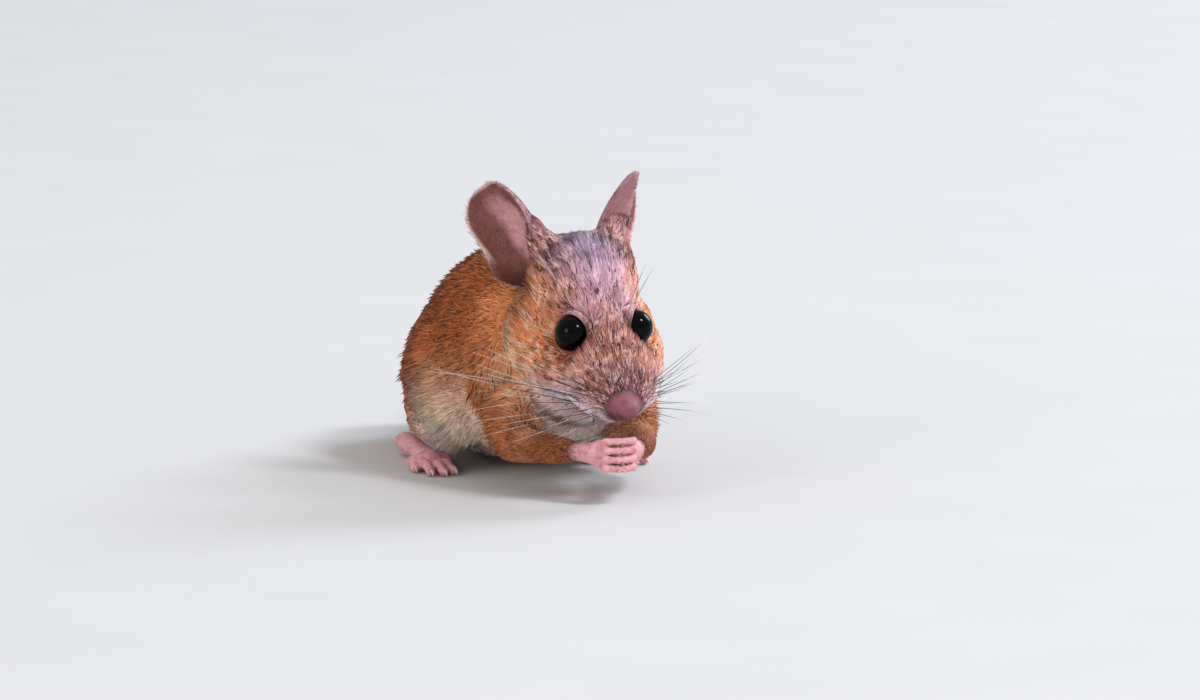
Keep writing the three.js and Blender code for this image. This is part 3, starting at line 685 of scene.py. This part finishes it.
class Skin:
    """The skin's mesh, and what a point on it belongs to."""

    def __init__(self):
        block = Block(*BODY_BLOCK)
        field, parts = skin_field(block)
        field = sculpted_head(block, field)
        corners, quads = polygons([(block, field), *tail_blocks()])
        corners = relaxed(corners.astype(float), quads)
        self.corners, self.quads = corners, quads
        self.normals, self.areas = normals_of(corners, quads)
        inside = corners[:, 1] < BODY_BLOCK[1][1]
        flesh = block.at(parts["flesh"], corners)

        def share(name):
            return inside * smooth(np.minimum(flesh, BAND) - block.at(parts[name], corners), 0.1, 0.9)

        self.ear, self.hand, self.foot = share("ears"), share("hands"), share("feet")
        self.tail = np.where(inside, share("tail"), 1.0)
        self.head = to_head(corners)
        left = to_left(self.head)
        self.eye = np.linalg.norm(left - EYE_AT, axis=1) - EYE_RADIUS
        self.nostril = chain(left, *NOSTRIL)
        nose = np.linalg.norm((left - NOSE_PAD[0]) / NOSE_PAD[1], axis=1)
        self.nose = smooth(nose + 0.09 * wander(corners, 0.5, 13), 1.3, 0.86)
        self.fur = np.clip(1 - self.ear - self.hand - self.foot - self.tail - self.nose, 0, 1)
        self.fur *= smooth(self.eye, 0.22, 0.42)
        self.forward, self.up, self.inside = self.ear_place()

    def ear_place(self):
        """Where corners lie on the nearer ear: forward from -1 to 1, up from 0 to 1, and whether inside."""
        sign = np.sign(self.head[:, 0])
        forward, up, inside = (np.zeros(len(sign)) for _ in range(3))
        for side in BOTH:
            mine = sign == side
            axis, facing, aside = ear_frame(side)
            off = self.head[mine] - EAR_AT * (side, 1, 1)
            v = np.clip((off @ axis) / EAR_LENGTH + EAR_SUNK, 0, 0.995)
            half, curl, lean = ear_section(v, least=0.02)
            radius = half / curl
            turn = np.arctan2(off @ aside, radius - (off @ facing - lean))
            forward[mine], up[mine] = -side * turn / curl, v
            middle = facing * (radius + lean)[:, None] + axis * (EAR_LENGTH * (v - EAR_SUNK))[:, None]
            inside[mine] = np.einsum("ij,ij->i", self.normals[mine] @ HEAD_TURN, middle - off) > 0
        return forward, up, inside

    def colours(self):
        corners = self.corners
        under = markings_and_sheen(corners)
        # The skin under the coat is darker than the markings, partly slate underfur and partly painted shade
        # beneath the hairs.
        under = under * (0.42 + 0.36 * smooth(under.mean(1, keepdims=True), 0.35, 0.65))
        tone = mixed(under, LID_SKIN_AND_NOSTRIL_SHADE, smooth(self.eye, 0.34, 0.14))
        tone = mixed(tone, self.ear_colours(), self.ear)
        # The nose darkens towards its underside: painted shade.
        low = smooth(self.head[:, 2], -0.1, -2.1) + 0.12 * wander(corners, 0.6, 9)
        nose = mixed(NOSE_TOP, NOSE_UNDER_SHADE, low)
        # Dark inside the nostrils: painted shade.
        nose = mixed(nose, LID_SKIN_AND_NOSTRIL_SHADE, smooth(self.nostril, 0.25, 0))
        tone = mixed(tone, nose, self.nose)
        crease = smooth(wander(corners, 0.5, 5), 0.1, 0.8) * 0.5
        pink = mixed(SKIN_PINK, SKIN_FOLD, crease)
        tone = mixed(tone, pink, np.clip(self.hand + self.foot, 0, 1))
        rings = 0.12 * np.sin(corners[:, 1] * 9) * smooth(corners[:, 1], 30, 36)
        tail = mixed(TAIL_TOP, TAIL_UNDER, smooth(self.normals[:, 2], 0.1, -0.6))
        tail = tail * (1 + rings)[:, None]
        return mixed(tone, tail, self.tail)

    def ear_colours(self):
        """Mauve skin with a painted pink highlight along the hollow's front, painted shade deep in the hollow
        and a thin pale rim.
        """
        forward, up, inside = self.forward, self.up, self.inside
        blotch = wander(self.corners, 1.6, 3)
        back = mixed(EAR_BACK, EAR_INSIDE, 0.3 + 0.25 * blotch)
        hollow = mixed(EAR_INSIDE, EAR_BACK, 0.1 + 0.1 * blotch)
        # A painted highlight: a pale pink band along the hollow's front.
        highlight_band = smooth(np.abs(forward + 0.08 - 0.12 * blotch), 0.42, 0.1)
        hollow = mixed(hollow, EAR_HIGHLIGHT_PINK, 0.9 * highlight_band * smooth(up, 0.16, 0.36) * smooth(up, 0.97, 0.7))
        hollow = mixed(hollow, EAR_FOLD, smooth(forward, 0.72, 0.86))
        # Darker down in the hollow towards its root: painted shade.
        hollow = mixed(hollow, EAR_DEEP_SHADE, smooth(up + 0.16 * forward, 0.3, 0.06))
        ear = mixed(back, hollow, inside) * (1 + 0.13 * wander(self.corners, 0.3, 17))[:, None]
        edge = smooth(np.abs(forward), 0.9, 0.98) * (0.95 - 0.7 * (forward > 0))
        edge = np.maximum(edge, 0.9 * smooth(up, 0.955, 0.985))
        return mixed(ear, EAR_RIM, edge * smooth(up, 0.4, 0.6))


def tube(path, radii, around=6):
    """A tapering tube with closed ends, as corners and quads."""
    path = np.asarray(path, float)
    way = unit(np.gradient(path, axis=0))
    side = unit(np.cross(way, np.where(np.abs(way[:, 2:]) > 0.9, (1.0, 0, 0), (0, 0, 1.0))))
    up = np.cross(side, way)
    turn = np.arange(around) * 2 * pi / around
    ring = np.cos(turn)[None, :, None] * side[:, None] + np.sin(turn)[None, :, None] * up[:, None]
    rings = path[:, None] + ring * np.asarray(radii)[:, None, None]
    rings = np.concatenate([path[:1, None].repeat(around, 1), rings, path[-1:, None].repeat(around, 1)])
    return rings.reshape(-1, 3), between(rings)


def eyeball(side, sign, material):
    around, up = 64, 40
    theta = np.linspace(0, pi, up + 1)
    phi = np.arange(around) * 2 * pi / around
    middle, axis = eye_frame(sign)
    a = unit(np.cross(axis, (0, 0, 1)))
    ring = np.cos(phi)[:, None] * a + np.sin(phi)[:, None] * np.cross(axis, a)
    rows = np.stack([np.cos(t) * axis + np.sin(t) * ring for t in theta])
    corners = from_head((middle + EYE_RADIUS * rows).reshape(-1, 3))
    eye = new_piece(f"eyeball_{side}", corners, between(rows)[:, ::-1], material)
    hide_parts(f"eye_{side}")


def claws(material):
    """A curved claw on each finger and toe."""
    made = []
    for sign in BOTH:
        for stations, _ in finger_chains(sign):
            way, tip = unit(stations[-1] - stations[-2]), stations[-1]
            drop = np.array([0, -0.2, -0.35])
            steps = ((0.25, 0), (0.62, 0), (0.9, 0.35), (1.05, 1))
            path = [tip + way * run + drop * fall for run, fall in steps]
            made.append(tube(path, [0.2, 0.17, 0.1, 0.02]))
        for stations, _ in toe_chains(sign):
            way, tip = unit((stations[-1] - stations[-2]) * (1, 1, 0.2)), stations[-1]
            steps = ((0.3, 0.86), (0.85, 0.84), (1.25, 0.62), (1.55, 0.2))
            path = [(*(tip + way * run)[:2], height) for run, height in steps]
            made.append(tube(path, [0.26, 0.22, 0.14, 0.03]))
    piece = new_piece("claws", *gathered(made), material)


WHISKER_DARK = 0.5  # how much of a whisker's length is dark


def whiskers(rng):
    """Long tapering whiskers on the muzzle, dark at the root and pale at the tip, and a few over each eye."""
    made, tints = [], []
    dark, pale = paint(34, 26, 26), paint(232, 224, 220)

    def whisker(root, way, length, radius, droop, sign):
        steps = np.linspace(0, 1, 15)
        line = root + way * (steps * length)[:, None] + droop * (steps**2 * length)[:, None]
        line = from_head(line * (sign, 1, 1))
        line[:, 2] = np.maximum(line[:, 2], 0.4)
        made.append(tube(line, radius * (1 - steps) ** 0.8 + 0.012, 4))
        share = np.repeat(np.r_[0, steps, 1], 4)
        tints.append(mixed(dark, pale, smooth(share, WHISKER_DARK - 0.15, WHISKER_DARK + 0.25)))

    for sign in BOTH:
        for row, count in enumerate((3, 4, 5, 5, 3)):
            for i in range(count):
                y, z = 2.9 + 0.78 * i + 0.2 * (row % 2), 1.2 - 0.95 * row
                root = np.array([2.5 + 0.62 * i + 0.15 * min(row, 3), y, z - 0.1 * i])
                way = unit(np.array([0.86, 0.1 + 0.16 * i, 0.34 - 0.2 * row]) + rng.normal(0, 0.07, 3))
                length = (7.5 + 3.6 * i) * rng.uniform(0.8, 1.15)
                droop = (-0.05, 0.12, -0.1) + rng.normal(0, 0.04, 3)
                whisker(root, way, length, 0.03 + 0.004 * i, droop, sign)
        for y, lean in ((14.5, 0.1), (15.4, 0.35)):
            way, droop = unit(np.array([0.4, lean, 0.85])), np.array([0.1, 0.2, -0.1])
            whisker(np.array([4.4, y, 7.2]), way, 7.5, 0.026, droop, sign)
    corners, quads = gathered(made)
    material = speckled("whisker", 0.35, 0.5, 500, 0.1)
    piece = new_piece("whiskers", corners, quads, material, np.concatenate(tints))


# ---- the coat

# In the head's frame: where the coat stands out, and the point that the head's coat leads away from
WHISKER_PAD = [(4.4, 3.6, -2.2), (5.2, 6.4, -2.4)], [1.2, 1.4]
LIE_FROM = np.array([0, -5, -1])


def lie(skin):
    """Which way the coat lies at the corners of the skin, before it is laid flat on it."""
    points, head = skin.corners, skin.head
    side = np.sign(head[:, 0])
    mirror = np.where(points[:, :1] < 0, (-1, 1, 1), (1, 1, 1))
    away = unit(head - LIE_FROM)
    away[:, 2] -= 0.45 * smooth(head[:, 2], 2, -5) * smooth(head[:, 1], 8, 16)
    for sign in BOTH:
        eye, axis = eye_frame(sign)
        off = head - eye
        ring = unit(off - (off @ axis)[:, None] * axis)
        near = smooth(np.linalg.norm(off, axis=1) - EYE_RADIUS, 2.4, 0.5)
        away = away + ring * (1.5 * near)[:, None]
    sink = -0.1 - 0.45 * smooth(np.abs(points[:, 0]), 2, 14)
    trunk = unit(np.column_stack([0 * sink, np.ones(len(sink)), sink]))
    trunk = mixed(trunk, unit(np.array([0, 38, 4.6]) - points), 0.97 * smooth(points[:, 1], 14, 27))
    way = mixed(unit(trunk), unit(unit(away) @ HEAD_TURN.T), smooth(head[:, 1], 30, 19))
    for stations, radii in (
        ([(8.2, -13, 15), (8.2, -18.5, 6.2)], (4.4, 3.4)),
        (ARM[1:], ARM_RADII[1:]),
        ([(12.0, -1, 5.6), (12.8, 7, 4.4), (12.2, 14.5, 3.4)], (3.2, 2.8, 2.0)),
    ):
        near = smooth(chain(to_left(points), stations, radii), 0.9, -0.3)
        along = unit(np.subtract(stations[-1], stations[0])) * mirror
        way = mixed(way, along, near * (1 - smooth(head[:, 1], 22, 18)))
    for sign in BOTH:
        axis, _, aside = ear_frame(sign)
        mound = smooth(chain(head * (sign, 1, 1), *EAR_MOUND), 2.2, 0.2) * (1 - skin.ear)
        way = mixed(way, axis @ HEAD_TURN.T, 0.8 * mound)
        fringe = smooth(np.abs(skin.forward), 0.8, 1.0) * np.sign(skin.forward) * -sign
        up = unit(axis + 0.9 * fringe[:, None] * aside) @ HEAD_TURN.T
        way = mixed(way, up, skin.ear * (side == sign))
    way = mixed(way, mirror * (0.1, -1, 0), skin.foot)
    way = mixed(way, mirror * unit(np.array([-0.5, -0.85, 0])), skin.hand)
    course, _ = tail_course(40)
    nearest = np.abs(points[:, 1:2] - course[None, :, 1]).argmin(1)
    way = mixed(way, unit(np.gradient(course, axis=0))[nearest], skin.tail)
    return way


def part_along(ways, axes):
    return np.einsum("ij,ij->i", ways, axes)[:, None] * axes


class Coat:
    """Tufts on the skin: each is a thin closed blade that rises from it, bends over and ends in a point."""

    def __init__(self, skin, rng):
        self.skin, self.rng = skin, rng
        corners, normals = skin.corners, skin.normals
        self.depth = coat_depth(corners) * skin.fur * (0.45 + 0.55 * smooth(skin.eye, 0.5, 2.2))
        way = lie(skin)
        swirl = np.column_stack([wander(corners, 3.0, 11 + i) for i in range(3)])
        way = way + 0.25 * swirl
        self.way = unit(way - part_along(way, normals))
        self.in_head = of_head(to_left(corners))
        bare = np.clip(skin.ear + skin.tail + skin.hand + skin.foot + skin.nose, 0, 1)
        self.tone = mixed(markings_and_sheen(corners), skin.colours() * 1.15, bare)
        self.dark = 0.06 + 0.08 * smooth(corners[:, 2], 8, 24) + 0.1 * self.in_head
        self.dark *= 1 - 0.85 * smooth(self.tone.mean(1), 0.28, 0.55)
        self.fringe = skin.ear * smooth(np.abs(skin.forward), 0.9, 0.98) * smooth(skin.up, 0.35, 0.55)
        # Tufts to a square millimetre
        short = smooth(self.depth, 0.9, 0.4) * (1 - self.in_head)
        self.density = skin.fur * (44 + 46 * self.in_head + 20 * short)
        self.density += 9 * skin.ear + 8 * self.fringe + 7 * skin.tail
        self.density += (3 * skin.hand + 6 * skin.foot) * smooth(normals[:, 2], 0, 0.5)
        self.density *= corners[:, 2] > 0.25
        self.pad = smooth(chain(to_left(skin.head), *WHISKER_PAD), 0.5, -0.5) * skin.fur

    def roots(self, share):
        """Spreads roots over the skin by density, and gives a way to tell corners' values at the roots."""
        skin, rng = self.skin, self.rng
        expected = self.density[skin.quads].mean(1) * skin.areas * share
        count = np.floor(expected + rng.random(len(expected))).astype(int)
        face = np.repeat(np.arange(len(count)), count)
        u, v = rng.random((2, len(face), 1))
        weights = np.concatenate([(1 - u) * (1 - v), u * (1 - v), u * v, (1 - u) * v], 1)
        quads = skin.quads[face]

        def at(values):
            if values.ndim == 1:
                return np.einsum("ik,ik->i", values[quads], weights)
            return np.einsum("ikj,ik->ij", values[quads], weights)

        return at, len(face)

    def grow(self, share):
        """Roots, corners and colours of all tufts."""
        skin, rng = self.skin, self.rng
        at, count = self.roots(share)
        root, normal = at(skin.corners), unit(at(skin.normals))
        way = at(self.way) + rng.normal(0, 0.1, (count, 3))
        way = unit(way - part_along(way, normal))
        across = np.cross(normal, way)
        depth, fur, in_head = at(self.depth), at(skin.fur), at(self.in_head)
        fringe, bare, pad = at(self.fringe), 1 - fur, at(self.pad)
        seed, lot = locks(root, in_head > 0.5)
        guard = rng.random(count) < 0.03
        length = 0.4 + (2.0 + 0.7 * in_head) * depth + 0.15 * bare + 0.3 * fringe
        length *= rng.uniform(0.7, 1.2, count) * np.where(guard, 1.3, 1) / share**0.2 * (1 - 0.3 * pad)
        height = depth * rng.uniform(0.45, 0.75, count) * (0.9 + 0.2 * lot) * np.where(guard, 1.15, 1)
        height = np.maximum(height * (1 + 1.6 * pad), 0.04 + 0.05 * length)
        width = (0.08 + 0.007 * np.minimum(length, 5)) * rng.uniform(0.75, 1.25, count) / share**0.5
        width *= np.where(fur < 0.5, 0.55, 1) * np.where(guard, 0.8, 1)

        col = lambda x: x[:, None]
        vary = 1 + 0.12 * wander(root, 1.6, 21) + 0.14 * (lot - 0.5) + 0.13 * rng.normal(0, 1, count)
        mark = at(self.tone)
        tone = mark * col(vary)
        by_lock = rng.random(count) < 0.1 + 0.5 * in_head
        kind = np.where(by_lock, lot, rng.random(count))
        darkened = tone * col(0.36 - 0.16 * in_head) + (0.010, 0.006, 0.005)
        pale = np.where(col(rng.random(count)) < col(0.5 * in_head), PALE_HAIR, SANDY_HAIR)
        lightened = mixed(tone * 1.4, pale, 0.05 + 0.36 * in_head)
        grey = tone.mean(1, keepdims=True)
        plain = grey + (tone - grey) * col(0.97 + 0.1 * in_head)
        tone = np.where(col(kind < at(self.dark) * fur), darkened, plain)
        tone = np.where(col(kind > 1 - (0.14 + 0.12 * in_head) * fur), lightened, tone)
        tone = tone * col(np.where(at(skin.ear) > 0.5, rng.uniform(0.6, 1.4, count), 1))
        tone = np.clip(tone, 0.004, 0.93)

        pulled = seed - root
        pulled -= part_along(pulled, normal)
        pulled -= 0.8 * part_along(pulled, way)
        pulled *= col(0.34 * fur * rng.uniform(0.4, 1.2, count))
        base = root - normal * 0.1
        middle = root + way * col(length * 0.42) + normal * col(height * 0.75) + 0.4 * pulled
        tip = root + way * col(length) + normal * col(height * rng.uniform(0.45, 0.75, count)) + pulled
        left, right = middle + across * col(width / 2), middle - across * col(width / 2)
        corners = np.stack([base, left, right, tip], 1)
        corners[..., 2] = np.maximum(corners[..., 2], 0.04)
        # Each tuft darkens towards its root, partly slate underfur and partly painted shade between the hairs;
        # its lighter tip is partly a painted highlight.
        root_dark_and_shade = col(np.where(fur > 0.5, 0.32 + 0.4 * smooth(mark.mean(1), 0.35, 0.65), 0.9))
        shades = np.stack([tone * root_dark_and_shade, tone * 0.95, tone * 0.95, np.minimum(tone * 1.3, 0.97)], 1)
        clear = ~(over_eye(middle) | over_eye(tip))
        return root[clear], corners[clear], shades[clear]


def over_eye(points):
    """Whether points stand in front of an eye."""
    off = to_left(to_head(points)) - EYE_AT
    ahead = off @ unit(EYE_AXIS)
    aside = np.sqrt(np.maximum((off**2).sum(1) - ahead**2, 0))
    return (ahead > 0) & (aside < EYE_RADIUS + 0.05)


def locks(points, in_head):
    """The lock of each hair: long ones, drawn out away from the nose on the head, and back on the body."""
    off = to_head(points) - LIE_FROM
    near = 10 / np.linalg.norm(off, axis=1, keepdims=True)
    seed, lot = clumps(off * near**0.6, 0.3)
    near = 10 / np.linalg.norm(seed, axis=1, keepdims=True)
    seed = from_head(seed * near**-1.5 + LIE_FROM)
    long = np.array([1, 0.45, 1])
    on_body, body_lot = clumps(points * long, 0.7)
    return np.where(in_head[:, None], seed, on_body / long), np.where(in_head, lot, body_lot)


def clumps(points, size):
    """The nearest of scattered seeds to each point, where a lock's hairs meet, and a number for each lock."""
    table = np.random.default_rng(29).random((CHANCES, 4))
    cell = np.floor(points / size).astype(np.int64)
    best = np.full(len(points), np.inf)
    seed, lot = np.zeros_like(points), np.zeros(len(points))
    for step in np.ndindex(3, 3, 3):
        at = cell + step - 1
        chance = table[chance_of(at + 500)]
        spot = (at + chance[:, :3]) * size
        gap = ((points - spot) ** 2).sum(1)
        nearer = gap < best
        best[nearer], seed[nearer], lot[nearer] = gap[nearer], spot[nearer], chance[nearer, 3]
    return seed, lot


# A tuft's corners are its base, its left and right and its tip. Each tuft is one patch of the map.
TUFT_FACES = np.array([(0, 2, 1), (3, 1, 2), (0, 1, 3), (0, 3, 2)])
PATCH = 0.003 * np.array([(0, -0.5), (-0.5, 0), (0.5, 0), (0, 0.5)])
MOST_TUFTS = 48000  # to a piece


def unwrapped(spots):
    """Where spots lie on an unwrap of the skin, turned about the Y axis."""
    turned = np.column_stack([np.arctan2(spots[:, 0], spots[:, 2]), spots[:, 1]])
    low, high = turned.min(0), turned.max(0)
    return 0.01 + 0.98 * (turned - low) / (high - low)


def coat_pieces(roots, corners, shades, material):
    """Shares the tufts out over pieces that the exporter can hold, by where they grow."""
    head = to_head(roots)
    in_head = (head[:, 1] < 24) | ((head[:, 1] < 44) & (head[:, 2] > 11.5))
    # Each part with its spots, moved so that the middle of the head or the trunk lies on the Y axis
    parts = ("head", in_head, head + (0, 0, 0.5)), ("body", ~in_head, roots - (0, 0, 11))
    for part, mine, spots in parts:
        held = np.flatnonzero(mine)
        order = held[np.argsort(spots[held, 1], kind="stable")]
        for number, lot in enumerate(np.array_split(order, ceil(len(order) / MOST_TUFTS)), 1):
            faces = (TUFT_FACES[None] + 4 * np.arange(len(lot))[:, None, None]).reshape(-1, 3)
            unwrap = (unwrapped(spots[lot])[:, None] + PATCH[TUFT_FACES.ravel()]).reshape(-1, 2)
            held_corners, held_shades = corners[lot].reshape(-1, 3), shades[lot].reshape(-1, 3)
            piece = new_piece(f"coat_{part}_{number}", held_corners, faces, material, held_shades, unwrap)


def mouse():
    rng = np.random.default_rng(7)
    skin = Skin()
    surface = speckled("skin", 0.5, 0.35, 900, 0.12, bump=0.5, bump_scale=2200)
    piece = new_piece("skin", skin.corners, skin.quads, surface, skin.colours())
    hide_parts(*BULK, *THIN)
    wet = two_toned("eye", (0.0004, 0.0003, 0.0003), (0.0014, 0.0009, 0.0008), 900, 0.03, 0.1)
    for side, sign in SIDES.items():
        eyeball(side, sign, wet)
    horn = paint(226, 196, 180)
    claws(two_toned("claw", horn * 0.85, horn, 1500, 0.35))
    whiskers(rng)
    roots, corners, shades = Coat(skin, rng).grow(1.0)
    coat_pieces(roots, corners, shades, speckled("fur", 0.5, 0.14, 700, 0.12))


# ---- stage

VIEW, VIEW_DISTANCE = (-20, 8), 900
PIXELS_PER_MM = 7.7
PICTURE_WIDTH = 1200
NOSE_SHOWS_AT = (26, 58.7)  # in pixels right of the picture's middle and below it
SENSOR_WIDTH = 36
FLOOR_REACH = 900


def bearing(azimuth, elevation):
    """The way to something seen at angles in degrees: azimuth from the front towards the mouse's left."""
    a, e = radians(azimuth), radians(elevation)
    return np.array([sin(a) * cos(e), -cos(a) * cos(e), sin(e)])


def put(data, spot, way):
    """Puts a camera or a lamp at a spot, way ahead of what it is aimed at."""
    thing = bpy.data.objects.new(data.name, data)
    thing.location = spot
    thing.rotation_mode = "QUATERNION"
    thing.rotation_quaternion = Vector(way).to_track_quat("Z", "Y")
    bpy.context.scene.collection.objects.link(thing)
    return thing


def studio():
    scene = bpy.context.scene
    back = bearing(*VIEW)
    right = unit(np.cross((0, 0, 1), back))
    up = np.cross(back, right)
    nose = middle_of("nose")
    aim = nose + (up * NOSE_SHOWS_AT[1] - right * NOSE_SHOWS_AT[0]) / PIXELS_PER_MM * MM
    lens = bpy.data.cameras.new("camera")
    lens.sensor_width = SENSOR_WIDTH
    lens.lens = SENSOR_WIDTH * VIEW_DISTANCE / (PICTURE_WIDTH / PIXELS_PER_MM)
    lens.clip_start, lens.clip_end = 0.01, 30
    scene.camera = put(lens, aim + back * VIEW_DISTANCE * MM, back)

    world = bpy.data.worlds.new("studio")
    world.use_nodes = True
    sky = world.node_tree.nodes["Background"].inputs
    sky["Color"].default_value = (0.9, 0.9, 0.92, 1)
    sky["Strength"].default_value = 0.66
    scene.world = world
    scene.view_settings.view_transform = "Standard"

    def lamp(name, azimuth, elevation, distance, size, power, colour):
        light = bpy.data.lights.new(name, "AREA")
        light.shape, light.size, light.energy, light.color = "DISK", size, power, colour
        way = bearing(azimuth, elevation)
        put(light, nose + way * distance, way)

    lamp("key", 36, 48, 2, 0.43, 21.2, (0.93, 0.95, 1))
    lamp("fill", -60, 22, 2, 0.85, 8.8, (1, 0.91, 0.86))
    lamp("rim", 110, 30, 2, 1, 25, (0.8, 0.86, 1))

    corners = FLOOR_REACH * np.array([(-1, -1, 0), (1, -1, 0), (1, 1, 0), (-1, 1, 0)])
    grey = two_toned("floor", (0.61, 0.61, 0.6), (0.65, 0.65, 0.64), 40, 0.8)
    new_piece("floor", corners + SHIFT * (1, 1, 0), [(0, 1, 2, 3)], grey)


mouse()
studio()
